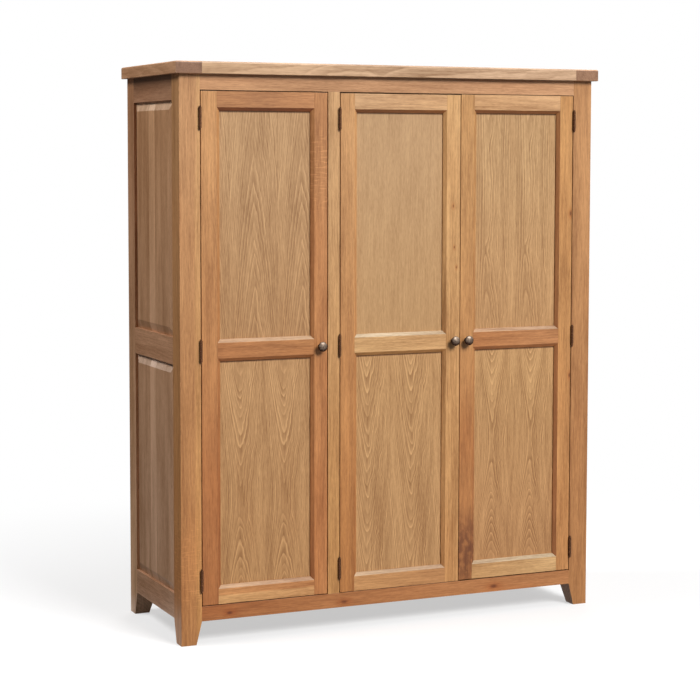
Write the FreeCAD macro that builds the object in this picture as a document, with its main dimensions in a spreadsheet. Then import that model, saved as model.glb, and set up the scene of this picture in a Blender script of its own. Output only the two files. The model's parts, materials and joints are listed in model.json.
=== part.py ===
# Three-door oak wardrobe, built as a joiner builds it: four posts carry mortised rails, raised
# panels float in grooves, a boarded back sits in rebates, and three frame-and-panel doors hang
# inset on knuckle hinges. Millimetres, +Z up, front towards -Y, origin under the middle.
import FreeCAD, Part
import Sketcher
import os

# ---------------------------------------------------------------- driving dimensions

DIMENSIONS = {
    # whole wardrobe
    "overall_height": 1900,
    "body_width": 1527,
    "body_depth": 543,
    # top board with its breadboard ends
    "top_thickness": 40,
    "top_side_overhang": 16.5,
    "top_front_overhang": 18,
    "top_back_overhang": 14,
    "end_cap_width": 89,
    "top_arris_radius": 6,
    "under_arris_radius": 2,
    "board_tongue_length": 14,
    "board_tongue_thickness": 12,
    # posts and their tapered feet
    "post_width": 71,
    "post_depth": 72,
    "foot_width": 52,
    "foot_depth": 50,
    "foot_height": 77,
    # front frame
    "front_thickness": 25.5,
    "top_rail_height": 51,
    "bottom_rail_base": 77,
    "bottom_rail_height": 49,
    "mullion_width": 42,
    "left_bay_width": 449,
    # mortise and tenon joints, and grooves that hold panels
    "tenon_length": 35,
    "tenon_start": 8,
    "tenon_thickness": 9,
    "tenon_shoulder": 10,
    "stub_tenon": 18,
    "mortise_play": 1,
    "groove_depth": 9,
    "panel_play": 2,
    # side frames with raised and fielded panels
    "side_thickness": 24,
    "side_top_rail": 83,
    "side_middle_rail": 89,
    "side_middle_base": 919,
    "side_bottom_rail": 82,
    "side_bottom_base": 80,
    "side_groove_start": 10,
    "side_groove_width": 8,
    "field_setback": 1.5,
    "field_margin": 30,
    # back
    "rear_rail_thickness": 22,
    "rear_rail_height": 60,
    "back_rebate": 12,
    "back_board_thickness": 10,
    "back_board_count": 14,
    "back_board_gap": 0.6,
    "back_tongue_length": 5,
    "back_tongue_thickness": 3.4,
    # inside
    "base_top": 120,
    "base_thickness": 16,
    "base_groove_depth": 8,
    "partition_thickness": 20,
    "shelf_height": 1640,
    "shelf_thickness": 18,
    "shelf_front": 45,
    "bearer_thickness": 20,
    "bearer_height": 80,
    "pole_radius": 14,
    "pole_drop": 50,
    "cradle_width": 56,
    "cradle_height": 50,
    "cradle_thickness": 18,
    "stop_depth": 15,
    "stop_height": 52,
    "stop_lap": 18,
    "magnet_width": 30,
    "magnet_height": 10,
    "magnet_depth": 8,
    "magnet_inset": 92,
    # doors
    "door_gap": 3,
    "meeting_gap": 2.5,
    "door_thickness": 25,
    "middle_door_width": 447,
    "middle_door_drop": 1,
    "right_door_lift": 1,
    "left_hinge_stile": 55,
    "left_lock_stile": 46.5,
    "middle_hinge_stile": 51.5,
    "middle_lock_stile": 51.5,
    "right_hinge_stile": 50,
    "right_lock_stile": 51,
    "door_top_rail": 52,
    "door_middle_rail": 51,
    "door_middle_base": 811,
    "door_bottom_rail": 50.5,
    "bevel_width": 11,
    "bevel_depth": 9,
    "panel_setback": 13,
    "panel_thickness": 7,
    # hinges
    "hinge_base": 212,
    "hinge_pitch": 754,
    "hinge_count": 3,
    "leaf_height": 68,
    "leaf_depth": 22,
    "leaf_thickness": 1.2,
    "barrel_radius": 4.5,
    "barrel_standoff": 4.8,
    "barrel_offset": 0.75,
    "pin_radius": 2.5,
    "pin_clearance": 0.1,
    "knuckle_gap": 0.3,
    "knuckle_count": 2,
    "pin_tip": 4,
    # knobs
    "knob_inset": 24.5,
    "knob_height": 966,
    "knob_projection": 28,
    "knob_radius": 16.5,
    "knob_rim": 4,
    "knob_flare_radius": 14,
    "knob_flare": 19,
    "knob_neck_radius": 6.5,
    "knob_neck": 11,
    "knob_foot_radius": 9,
    "knob_foot_height": 3,
    "bolt_radius": 2,
    "keeper_width": 34,
    "keeper_height": 14,
    "keeper_depth": 1.2,
    "keeper_proud": 0.2,
}

doc = FreeCAD.newDocument("Wardrobe")
sheet = doc.addObject("Spreadsheet::Sheet", "Dimensions")
for row, (alias, number) in enumerate(DIMENSIONS.items(), start=1):
    sheet.set(f"A{row}", alias)
    sheet.set(f"B{row}", str(number))
    sheet.setAlias(f"B{row}", alias)
doc.recompute()


class Length:
    """A size in mm: its number now, and the expression that ties it to the sheet."""

    def __init__(self, value, text):
        self.value = value
        self.text = text

    def combine(self, other, sign, value):
        return Length(value, f"({self.text} {sign} {other.text})")

    def __add__(self, other):
        other = length(other)
        return self.combine(other, "+", self.value + other.value)

    def __sub__(self, other):
        other = length(other)
        return self.combine(other, "-", self.value - other.value)

    def __mul__(self, other):
        other = length(other)
        return self.combine(other, "*", self.value * other.value)

    def __truediv__(self, other):
        other = length(other)
        return self.combine(other, "/", self.value / other.value)

    def __rmul__(self, other):
        return length(other) * self

    def __neg__(self):
        return Length(-self.value, f"(0 - {self.text})")


class Sheet:
    """Reads an aliased cell as a Length: dim.post_width."""

    def __getattr__(self, alias):
        return Length(float(sheet.get(alias)), f"Dimensions.{alias}")


def length(number):
    """A plain number as a Length; a Length stays as it is."""
    return number if isinstance(number, Length) else Length(float(number), repr(float(number)))


def bind(item, path, size):
    """Ties one property of a document object to the sheet."""
    item.setExpression(path, length(size).text)


dim = Sheet()
ZERO = length(0)
CUT_PAST = 5          # how far a cut runs past the face that it opens
SAME_PLACE = 1e-4     # closer than this, two levels are one
LEAST_CUT = 1e-3      # a cut that takes less volume than this missed its piece

# ---------------------------------------------------------------- derived places

CASE_TOP = dim.overall_height - dim.top_thickness
FRONT_PLANE = -(dim.body_depth + dim.top_back_overhang - dim.knob_projection) / 2
FRONT_RAIL_TOP = dim.bottom_rail_base + dim.bottom_rail_height
OPENING_TOP = CASE_TOP - dim.top_rail_height
MULLION_LEFT = dim.post_width + dim.left_bay_width
MULLION_RIGHT = MULLION_LEFT + dim.mullion_width
MULLION_CENTRE = MULLION_LEFT + dim.mullion_width / 2
RIGHT_POST = dim.body_width - dim.post_width
REAR_POST = dim.body_depth - dim.post_depth
BACK_FACE = dim.body_depth - dim.back_rebate
REAR_RAIL_FACE = BACK_FACE - dim.rear_rail_thickness
SIDE_GROOVE_END = dim.side_groove_start + dim.side_groove_width
SIDE_TOP_BASE = CASE_TOP - dim.side_top_rail
SIDE_MIDDLE_TOP = dim.side_middle_base + dim.side_middle_rail
SIDE_BOTTOM_TOP = dim.side_bottom_base + dim.side_bottom_rail
TENON_END = dim.tenon_start + dim.tenon_thickness
PARTITION_LEFT = MULLION_CENTRE - dim.partition_thickness / 2
PARTITION_RIGHT = MULLION_CENTRE + dim.partition_thickness / 2
DOOR_BASE = FRONT_RAIL_TOP + dim.door_gap
DOOR_HEIGHT = OPENING_TOP - FRONT_RAIL_TOP - 2 * dim.door_gap
PANEL_BACK = dim.panel_setback + dim.panel_thickness
POLE_LEVEL = dim.shelf_height - dim.pole_drop
MAGNET_LEVEL = OPENING_TOP - dim.door_gap - dim.stop_lap / 2
LEAF_EDGE = dim.barrel_offset + dim.door_gap    # from the hinge axis to the door's edge


class Corner:
    """A corner that pieces are measured from. X runs inward: +X where hand is 1, -X where -1."""

    def __init__(self, x, y, z, hand=1):
        self.place = (x, y, z)
        self.hand = hand

    def across(self, low, high):
        """A span of X in the piece's own axes, lowest end first."""
        low, high = length(low), length(high)
        return (low, high) if self.hand > 0 else (-high, -low)

    def at(self, x):
        return length(x) if self.hand > 0 else -length(x)


class Circle:
    def __init__(self, u, v, radius):
        self.u, self.v, self.radius = length(u), length(v), length(radius)


class Bow:
    """An outline's corner whose edge to the next corner is an arc, bulging right of the walk."""

    def __init__(self, u, v, radius):
        self.u, self.v, self.radius = length(u), length(v), length(radius)


class Piece:
    """One piece: a PartDesign body whose features are bound to the sheet."""

    def __init__(self, label, corner):
        self.body = doc.addObject("PartDesign::Body", label)
        self.body.Label = label
        self.corner = corner
        self.features = []
        for axis, size in zip("xyz", corner.place):
            bind(self.body, f"Placement.Base.{axis}", size)

    def feature(self, kind):
        made = self.body.newObject(f"PartDesign::{kind}", f"{self.body.Name}_{kind}")
        self.features.append(made)
        return made

    def origin_part(self, role):
        return next(part for part in self.body.Origin.OriginFeatures if part.Role == role)

    def sketch(self, plane, outlines, level=0):
        """A sketch on an origin plane, shifted to `level` along the plane's own axis."""
        drawn = self.body.newObject("Sketcher::SketchObject", f"{self.body.Name}_sketch")
        drawn.AttachmentSupport = [(self.origin_part(plane), "")]
        drawn.MapMode = "FlatFace"
        level = length(level)
        bind(drawn, "AttachmentOffset.Base.z", -level if plane == "XZ_Plane" else level)
        for outline in outlines:
            if isinstance(outline, Circle):
                draw_circle(drawn, outline, self.corner, plane)
            else:
                draw_outline(drawn, outline, self.corner, plane)
        return drawn

    def extrude(self, kind, plane, outlines, low, high):
        if plane == "YZ_Plane":
            low, high = self.corner.across(low, high)
        drawn = self.sketch(plane, outlines, low)
        made = self.feature(kind)
        made.Profile = drawn
        # The XZ plane's normal is -Y, and a pocket cuts against its sketch's normal.
        made.Reversed = (plane == "XZ_Plane") == (kind == "Pad")
        bind(made, "Length", length(high) - low)
        drawn.Visibility = False
        return made

    def pad(self, plane, outlines, low, high):
        """Adds the outlines' prism between two levels of the plane's axis."""
        return self.extrude("Pad", plane, outlines, low, high)

    def pocket(self, plane, outlines, low, high):
        """Cuts the outlines' prism between two levels of the plane's axis."""
        return self.extrude("Pocket", plane, outlines, low, high)

    def box(self, kind, x, y, z):
        made = self.feature(kind)
        for side, axis, (low, high) in zip(("Length", "Width", "Height"), "xyz",
                                           (self.corner.across(*x), y, z)):
            bind(made, side, length(high) - low)
            bind(made, f"Placement.Base.{axis}", low)
        return made

    def add_box(self, x, y, z):
        return self.box("AdditiveBox", x, y, z)

    def cut_box(self, x, y, z):
        return self.box("SubtractiveBox", x, y, z)

    def revolve(self, plane, outline):
        """Turns an outline about the sketch's own upright axis."""
        drawn = self.sketch(plane, [outline])
        made = self.feature("Revolution")
        made.Profile = drawn
        made.ReferenceAxis = (drawn, ["V_Axis"])
        made.Angle = 360
        drawn.Visibility = False
        return made

    def repeat(self, role, pitch, count):
        """Repeats every feature so far at equal steps along one of the body's axes."""
        made = self.body.newObject("PartDesign::LinearPattern", f"{self.body.Name}_pattern")
        made.Originals = list(self.features)
        made.Direction = (self.origin_part(role), [""])
        bind(made, "Length", pitch * (length(count) - 1))
        bind(made, "Occurrences", count)
        self.body.Tip = made

    def round_edges(self, radius, chosen):
        """Rounds the edges that `chosen` picks by their bounding box."""
        doc.recompute()
        base = self.body.Tip
        names = [f"Edge{number}" for number, edge in enumerate(base.Shape.Edges, start=1)
                 if chosen(edge.BoundBox)]
        made = self.feature("Fillet")
        made.Base = (base, names)
        bind(made, "Radius", radius)
        return made


def draw_circle(drawn, circle, corner, plane):
    u = circle.u if plane == "YZ_Plane" else corner.at(circle.u)
    centre = FreeCAD.Vector(u.value, circle.v.value, 0)
    shape = Part.Circle(centre, FreeCAD.Vector(0, 0, 1), circle.radius.value)
    index = drawn.addGeometry(shape, False)
    pin_point(drawn, index, 3, u, circle.v)
    hold(drawn, circle.radius, "Radius", index)


def draw_outline(drawn, outline, corner, plane):
    """A closed outline of straight edges and arcs, every corner tied to the sheet."""
    corners = []
    for point in outline:
        u, v, radius = (point.u, point.v, point.radius) if isinstance(point, Bow) else (*point, None)
        u = length(u) if plane == "YZ_Plane" else corner.at(u)
        corners.append((u, length(v), radius))
    starts = []
    ends = []
    for here, there in zip(corners, corners[1:] + corners[:1]):
        first = FreeCAD.Vector(here[0].value, here[1].value, 0)
        last = FreeCAD.Vector(there[0].value, there[1].value, 0)
        if here[2] is None:
            index = drawn.addGeometry(Part.LineSegment(first, last), False)
            starts.append((index, 1))
            ends.append((index, 2))
        else:
            clockwise = corner.hand < 0 and plane != "YZ_Plane"
            index = drawn.addGeometry(bow_arc(first, last, here[2].value, clockwise), False)
            starts.append((index, 2 if clockwise else 1))
            ends.append((index, 1 if clockwise else 2))
    for end, start in zip(ends, starts[1:] + starts[:1]):
        drawn.addConstraint(Sketcher.Constraint("Coincident", *end, *start))
    for (index, spot), (u, v, radius) in zip(starts, corners):
        pin_point(drawn, index, spot, u, v)
        if radius is not None:
            hold(drawn, radius, "Radius", index)


def bow_arc(first, last, radius, clockwise):
    """The minor arc from first to last, walked anticlockwise unless told otherwise."""
    if clockwise:
        first, last = last, first
    chord = last - first
    middle = (first + last) / 2
    height = (radius ** 2 - (chord.Length / 2) ** 2) ** 0.5
    normal = FreeCAD.Vector(-chord.y, chord.x, 0) / chord.Length
    centre = middle + normal * height
    angles = [FreeCAD.Vector(1, 0, 0).getAngle(spot - centre) * (1 if spot.y >= centre.y else -1)
              for spot in (first, last)]
    circle = Part.Circle(centre, FreeCAD.Vector(0, 0, 1), radius)
    return Part.ArcOfCircle(circle, angles[0], angles[1])


def pin_point(drawn, index, spot, u, v):
    """Fixes a point's place from the sketch's origin."""
    hold(drawn, u, "DistanceX", -1, 1, index, spot)
    hold(drawn, v, "DistanceY", -1, 1, index, spot)


def hold(drawn, size, kind, *where):
    number = drawn.addConstraint(Sketcher.Constraint(kind, *where, size.value))
    drawn.setExpression(f"Constraints[{number}]", size.text)


def group(label, pieces):
    """Several separate solids of one kind, kept as one node."""
    made = doc.addObject("Part::Compound", label)
    made.Label = label
    made.Links = [piece.body for piece in pieces]
    return made


def rectangle(u, v):
    return [(u[0], v[0]), (u[1], v[0]), (u[1], v[1]), (u[0], v[1])]


LEFT = Corner(-dim.body_width / 2, FRONT_PLANE, ZERO)
RIGHT = Corner(dim.body_width / 2, FRONT_PLANE, ZERO, hand=-1)
nodes = []            # every object that becomes a file, in order

# ---------------------------------------------------------------- posts


def hinge_levels(base=ZERO):
    """Heights of the hinges' centres above `base`."""
    steps = range(int(dim.hinge_count.value))
    return [dim.hinge_base - base + dim.hinge_pitch * step for step in steps]


def cut_gains(piece, x, base=ZERO):
    """Shallow recesses that the hinge leaves lie flush in."""
    for level in hinge_levels(base):
        half = dim.leaf_height / 2
        piece.cut_box(x, (-CUT_PAST, dim.leaf_depth), (level - half, level + half))


def post(label, corner, front):
    """A square post. Its foot tapers on the two faces that look into the wardrobe."""
    low, high = (ZERO, dim.post_depth) if front else (REAR_POST, dim.body_depth)
    inner, outer = (high, low) if front else (low, high)
    foot = dim.foot_depth if front else dim.body_depth - dim.foot_depth
    into = 1 if front else -1
    piece = Piece(label, corner)
    piece.pad("XY_Plane", [rectangle((0, dim.post_width), (low, high))], 0, CASE_TOP)
    taper = [(dim.foot_width, 0), (dim.post_width, 0), (dim.post_width, dim.foot_height)]
    piece.pocket("XZ_Plane", [taper], low, high)
    taper = [(foot, 0), (inner, 0), (inner, dim.foot_height)]
    piece.pocket("YZ_Plane", [taper], 0, dim.post_width)

    # Side rails: mortises, and the panel groove between them.
    depth = inner - (dim.tenon_length + dim.mortise_play) * into
    reach = (depth, inner) if front else (inner, depth)
    groove = (dim.side_groove_start, SIDE_GROOVE_END)
    for base, top in side_rail_spans():
        tenon = (base + dim.tenon_shoulder, top - dim.tenon_shoulder)
        piece.cut_box(groove, reach, tenon)
    lip = inner - dim.groove_depth * into
    lips = (lip, inner) if front else (inner, lip)
    piece.cut_box(groove, lips, (SIDE_BOTTOM_TOP - dim.groove_depth,
                                 SIDE_TOP_BASE + dim.groove_depth))

    # Front or rear rails, which enter the face that looks along the wardrobe.
    deep = (dim.post_width - dim.tenon_length - dim.mortise_play, dim.post_width)
    for base, top in front_rail_spans() if front else rear_rail_spans():
        thick = (dim.tenon_start, TENON_END) if front else rear_tenon()
        piece.cut_box(deep, thick, (base + dim.tenon_shoulder, top - dim.tenon_shoulder))
    if not front:
        rebate = (dim.post_width - dim.back_rebate, dim.post_width)
        piece.cut_box(rebate, (BACK_FACE, outer), (dim.bottom_rail_base, CASE_TOP))
    return piece


def side_rail_spans():
    return [(dim.side_bottom_base, SIDE_BOTTOM_TOP),
            (dim.side_middle_base, SIDE_MIDDLE_TOP),
            (SIDE_TOP_BASE, CASE_TOP)]


def front_rail_spans():
    return [(dim.bottom_rail_base, FRONT_RAIL_TOP), (OPENING_TOP, CASE_TOP)]


def rear_rail_spans():
    return [(dim.bottom_rail_base, FRONT_RAIL_TOP), (CASE_TOP - dim.rear_rail_height, CASE_TOP)]


def rear_tenon():
    middle = REAR_RAIL_FACE + dim.rear_rail_thickness / 2
    return (middle - dim.tenon_thickness / 2, middle + dim.tenon_thickness / 2)


def make_posts():
    for side, corner in (("left", LEFT), ("right", RIGHT)):
        front = post(f"post_front_{side}", corner, front=True)
        cut_gains(front, (dim.post_width - dim.leaf_thickness, dim.post_width))
        rear = post(f"post_rear_{side}", corner, front=False)
        nodes.extend([front.body, rear.body])


# ---------------------------------------------------------------- front and rear frame


def cross_rail(label, base, top, front, back, tenon):
    """A rail between the left and right posts, with a tenon on each end."""
    piece = Piece(label, LEFT)
    piece.add_box((dim.post_width, RIGHT_POST), (front, back), (base, top))
    ends = (dim.post_width - dim.tenon_length, RIGHT_POST + dim.tenon_length)
    piece.add_box(ends, tenon, (base + dim.tenon_shoulder, top - dim.tenon_shoulder))
    return piece


def mullion_tenon():
    return (MULLION_LEFT + dim.tenon_shoulder, MULLION_RIGHT - dim.tenon_shoulder)


def make_front_frame():
    thick = (dim.tenon_start, TENON_END)
    stub = dim.stub_tenon + dim.mortise_play
    top = cross_rail("front_top_rail", OPENING_TOP, CASE_TOP, 0, dim.front_thickness, thick)
    top.cut_box(mullion_tenon(), thick, (OPENING_TOP, OPENING_TOP + stub))

    bottom = cross_rail("front_bottom_rail", dim.bottom_rail_base, FRONT_RAIL_TOP, 0,
                        dim.front_thickness, thick)
    bottom.cut_box(mullion_tenon(), thick, (FRONT_RAIL_TOP - stub, FRONT_RAIL_TOP))
    bottom.cut_box((dim.post_width, RIGHT_POST),
                   (dim.front_thickness - dim.base_groove_depth, dim.front_thickness),
                   (dim.base_top - dim.base_thickness, dim.base_top))

    mullion = Piece("front_mullion", LEFT)
    mullion.add_box((MULLION_LEFT, MULLION_RIGHT), (0, dim.front_thickness),
                    (FRONT_RAIL_TOP, OPENING_TOP))
    mullion.add_box(mullion_tenon(), thick,
                    (FRONT_RAIL_TOP - dim.stub_tenon, OPENING_TOP + dim.stub_tenon))
    cut_gains(mullion, (MULLION_RIGHT - dim.leaf_thickness, MULLION_RIGHT))
    nodes.extend([top.body, bottom.body, mullion.body])


def make_rear_rails():
    pieces = []
    for name, (base, top) in zip(("bottom", "top"), rear_rail_spans()):
        rail = cross_rail(f"rear_{name}_rail", base, top, REAR_RAIL_FACE, BACK_FACE, rear_tenon())
        if name == "bottom":
            rail.cut_box((dim.post_width, RIGHT_POST),
                         (REAR_RAIL_FACE, REAR_RAIL_FACE + dim.base_groove_depth),
                         (dim.base_top - dim.base_thickness, dim.base_top))
        pieces.append(rail)
    nodes.append(group("rear_rails", pieces))


# ---------------------------------------------------------------- sides


def side_rail(label, corner, base, top, grooved_below, grooved_above):
    piece = Piece(label, corner)
    piece.add_box((0, dim.side_thickness), (dim.post_depth, REAR_POST), (base, top))
    ends = (dim.post_depth - dim.tenon_length, REAR_POST + dim.tenon_length)
    groove = (dim.side_groove_start, SIDE_GROOVE_END)
    piece.add_box(groove, ends, (base + dim.tenon_shoulder, top - dim.tenon_shoulder))
    along = (dim.post_depth, REAR_POST)
    if grooved_below:
        piece.cut_box(groove, along, (base, base + dim.groove_depth))
    if grooved_above:
        piece.cut_box(groove, along, (top - dim.groove_depth, top))
    return piece


def raised_panel(label, corner, base, top):
    """A panel whose four margins slope up from the tongue to a flat field."""
    piece = Piece(label, corner)
    hidden = dim.groove_depth - dim.panel_play
    y = (dim.post_depth - hidden, REAR_POST + hidden)
    z = (base - hidden, top + hidden)
    piece.add_box((dim.field_setback, SIDE_GROOVE_END), y, z)
    margins = []
    for edge, opening, inward in ((y[0], dim.post_depth, 1), (y[1], REAR_POST, -1)):
        margins.append(margin_outline(edge, opening, inward))
    piece.pocket("XY_Plane", margins, z[0], z[1])
    margins = [margin_outline(z[0], base, 1), margin_outline(z[1], top, -1)]
    piece.pocket("XZ_Plane", margins, y[0], y[1])
    return piece


def margin_outline(edge, opening, inward):
    """What is planed off one margin, across the panel: a slope, then a step to the tongue."""
    return [(dim.field_setback, edge),
            (dim.side_groove_start, edge),
            (dim.side_groove_start, opening),
            (dim.field_setback, opening + dim.field_margin * inward)]


def make_sides():
    for side, corner in (("left", LEFT), ("right", RIGHT)):
        names = ("bottom", "middle", "top")
        for name, (base, top) in zip(names, side_rail_spans()):
            rail = side_rail(f"side_{side}_{name}_rail", corner, base, top,
                             grooved_below=name != "bottom", grooved_above=name != "top")
            nodes.append(rail.body)
        lower = raised_panel(f"side_{side}_lower_panel", corner, SIDE_BOTTOM_TOP,
                             dim.side_middle_base)
        upper = raised_panel(f"side_{side}_upper_panel", corner, SIDE_MIDDLE_TOP, SIDE_TOP_BASE)
        nodes.append(group(f"side_{side}_panels", [lower, upper]))


# ---------------------------------------------------------------- back, top and inside


def make_back_boards():
    """Tongue-and-groove boards, with a shrinkage gap between the faces of each pair."""
    start = dim.post_width - dim.back_rebate
    pitch = (dim.body_width - 2 * start) / dim.back_board_count
    face = pitch - dim.back_board_gap
    front, back = BACK_FACE, BACK_FACE + dim.back_board_thickness
    middle = BACK_FACE + dim.back_board_thickness / 2
    tongue = dim.back_tongue_thickness / 2
    groove = tongue + dim.back_board_gap / 2
    depth = dim.back_tongue_length + dim.back_board_gap
    right = start + face
    piece = Piece("back_boards", LEFT)
    outline = [(start, front), (right, front), (right, middle - tongue),
               (right + dim.back_tongue_length, middle - tongue),
               (right + dim.back_tongue_length, middle + tongue),
               (right, middle + tongue), (right, back), (start, back),
               (start, middle + groove), (start + depth, middle + groove),
               (start + depth, middle - groove), (start, middle - groove)]
    piece.pad("XY_Plane", [outline], dim.bottom_rail_base, CASE_TOP)
    piece.repeat("X_Axis", pitch, dim.back_board_count)
    # The last board's tongue is sawn off where it would enter the post.
    last = start + pitch * dim.back_board_count
    doc.recompute()
    piece.cut_box((last - dim.back_board_gap, last + CUT_PAST), (front, back),
                  (dim.bottom_rail_base, CASE_TOP))
    nodes.append(piece.body)


def top_tongue():
    middle = CASE_TOP + dim.top_thickness / 2
    return (middle - dim.board_tongue_thickness / 2, middle + dim.board_tongue_thickness / 2)


def make_top():
    """A board between two breadboard ends that cap its end grain, joined by a long tongue."""
    y = (-dim.top_front_overhang, dim.body_depth + dim.top_back_overhang)
    z = (CASE_TOP, dim.overall_height)
    shoulder = dim.end_cap_width - dim.top_side_overhang
    tongue = dim.board_tongue_length
    inset = (y[0] + tongue, y[1] - tongue)

    board = Piece("top_board", LEFT)
    board.add_box((shoulder, dim.body_width - shoulder), y, z)
    for radius, level in ((dim.top_arris_radius, z[1]), (dim.under_arris_radius, z[0])):
        board.round_edges(radius, lambda box, level=level: runs_along_x(box, y, level))
    board.add_box((shoulder - tongue, dim.body_width - shoulder + tongue), inset, top_tongue())
    nodes.append(board.body)

    caps = []
    for side, corner in (("left", LEFT), ("right", RIGHT)):
        cap = Piece(f"top_end_cap_{side}", corner)
        cap.add_box((-dim.top_side_overhang, shoulder), y, z)
        for radius, level in ((dim.top_arris_radius, z[1]), (dim.under_arris_radius, z[0])):
            inner = corner.at(shoulder).value
            cap.round_edges(radius, lambda box, level=level: lies_at(box.ZMin, box.ZMax, level)
                            and not lies_at(box.XMin, box.XMax, inner))
        cap.cut_box((shoulder - tongue - dim.mortise_play, shoulder), inset, top_tongue())
        caps.append(cap)
    nodes.append(group("top_end_caps", caps))


def lies_at(low, high, level):
    level = length(level).value
    return abs(low - level) < SAME_PLACE and abs(high - level) < SAME_PLACE


def runs_along_x(box, y, level):
    """True for an edge along X, at that height, on the front or the rear face."""
    on_face = any(lies_at(box.YMin, box.YMax, face) for face in y)
    return on_face and lies_at(box.ZMin, box.ZMax, level)


def make_base():
    """The floor of the wardrobe, notched round the posts and let into both bottom rails."""
    front = dim.front_thickness - dim.base_groove_depth
    rear = REAR_RAIL_FACE + dim.base_groove_depth
    left, right = dim.side_thickness, dim.body_width - dim.side_thickness
    piece = Piece("base_panel", LEFT)
    outline = [(dim.post_width, front), (RIGHT_POST, front),
               (RIGHT_POST, dim.post_depth), (right, dim.post_depth),
               (right, REAR_POST), (RIGHT_POST, REAR_POST),
               (RIGHT_POST, rear), (dim.post_width, rear),
               (dim.post_width, REAR_POST), (left, REAR_POST),
               (left, dim.post_depth), (dim.post_width, dim.post_depth)]
    piece.pad("XY_Plane", [outline], dim.base_top - dim.base_thickness, dim.base_top)
    nodes.append(piece.body)


def make_partition():
    """The upright between the bays, notched round the rear rails."""
    piece = Piece("partition_panel", LEFT)
    rear_rail = CASE_TOP - dim.rear_rail_height
    outline = [(dim.front_thickness, dim.base_top), (REAR_RAIL_FACE, dim.base_top),
               (REAR_RAIL_FACE, FRONT_RAIL_TOP), (BACK_FACE, FRONT_RAIL_TOP),
               (BACK_FACE, rear_rail), (REAR_RAIL_FACE, rear_rail),
               (REAR_RAIL_FACE, CASE_TOP), (dim.front_thickness, CASE_TOP)]
    piece.pad("YZ_Plane", [outline], PARTITION_LEFT, PARTITION_RIGHT)
    nodes.append(piece.body)


def bays():
    """Name and clear span of X of the two spaces behind the doors."""
    return [("left", dim.post_width, PARTITION_LEFT), ("right", PARTITION_RIGHT, RIGHT_POST)]


def make_fittings():
    """Shelves on bearers, and a hanging pole that drops into a cradle at each end."""
    shelves, bearers, poles, cradles = [], [], [], []
    middle = (dim.shelf_front + REAR_RAIL_FACE) / 2
    bearer_levels = (dim.shelf_height - dim.bearer_height, dim.shelf_height)
    for name, low, high in bays():
        shelf = Piece(f"shelf_{name}", LEFT)
        shelf.add_box((low, high), (dim.shelf_front, BACK_FACE),
                      (dim.shelf_height, dim.shelf_height + dim.shelf_thickness))
        shelves.append(shelf)

        face_low, face_high = low + dim.bearer_thickness, high - dim.bearer_thickness
        for end, x in (("left", (low, face_low)), ("right", (face_high, high))):
            bearer = Piece(f"bearer_{name}_{end}", LEFT)
            bearer.add_box(x, (dim.shelf_front, REAR_RAIL_FACE), bearer_levels)
            bearers.append(bearer)

        pole = Piece(f"pole_{name}", LEFT)
        pole.pad("YZ_Plane", [Circle(middle, POLE_LEVEL, dim.pole_radius)], face_low, face_high)
        poles.append(pole)

        cradles.append(cradle(f"cradle_{name}_left", middle, face_low,
                              face_low + dim.cradle_thickness))
        cradles.append(cradle(f"cradle_{name}_right", middle, face_high - dim.cradle_thickness,
                              face_high))
    nodes.append(group("shelves", shelves))
    nodes.append(group("shelf_bearers", bearers))
    nodes.append(group("hanging_poles", poles))
    nodes.append(group("pole_cradles", cradles))


def cradle(label, middle, low, high):
    """A block on a bearer's face, with a U-shaped notch that the pole lies in."""
    top = POLE_LEVEL + dim.cradle_height / 2
    piece = Piece(label, LEFT)
    piece.add_box((low, high), (middle - dim.cradle_width / 2, middle + dim.cradle_width / 2),
                  (top - dim.cradle_height, top))
    piece.pocket("YZ_Plane", [Circle(middle, POLE_LEVEL, dim.pole_radius)], low, high)
    piece.cut_box((low, high), (middle - dim.pole_radius, middle + dim.pole_radius),
                  (POLE_LEVEL, top))
    return piece


# ---------------------------------------------------------------- doors


class Door:
    """Where a door hangs and how wide its members are."""

    def __init__(self, name, hinge_edge, hand, width, shift, hinge_stile, lock_stile):
        self.name = name
        self.width = width
        self.hinge_stile = hinge_stile
        self.lock_stile = lock_stile
        self.base = DOOR_BASE + shift
        self.hinge_edge = hinge_edge
        self.corner = Corner(hinge_edge - dim.body_width / 2, FRONT_PLANE, self.base, hand)
        axis = hinge_edge - LEAF_EDGE if hand > 0 else hinge_edge + LEAF_EDGE
        self.axis = Corner(axis - dim.body_width / 2, FRONT_PLANE, dim.hinge_base, hand)
        self.clear = (hinge_stile, width - lock_stile)

    def from_free_edge(self, inset):
        """X, from the wardrobe's left side, of a point `inset` from the door's free edge."""
        reach = self.width - inset
        return self.hinge_edge + reach if self.corner.hand > 0 else self.hinge_edge - reach


RIGHT_DOOR_WIDTH = (RIGHT_POST - MULLION_RIGHT - 2 * dim.door_gap - dim.meeting_gap
                    - dim.middle_door_width)
DOORS = [
    Door("left", dim.post_width + dim.door_gap, 1, dim.left_bay_width - 2 * dim.door_gap,
         ZERO, dim.left_hinge_stile, dim.left_lock_stile),
    Door("middle", MULLION_RIGHT + dim.door_gap, 1, dim.middle_door_width,
         -dim.middle_door_drop, dim.middle_hinge_stile, dim.middle_lock_stile),
    Door("right", RIGHT_POST - dim.door_gap, -1, RIGHT_DOOR_WIDTH,
         dim.right_door_lift, dim.right_hinge_stile, dim.right_lock_stile),
]


def door_rail_spans():
    """Flat faces of the three rails, from the door's foot."""
    middle_top = dim.door_middle_base + dim.door_middle_rail
    return [(ZERO, dim.door_bottom_rail), (dim.door_middle_base, middle_top),
            (DOOR_HEIGHT - dim.door_top_rail, DOOR_HEIGHT)]


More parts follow.
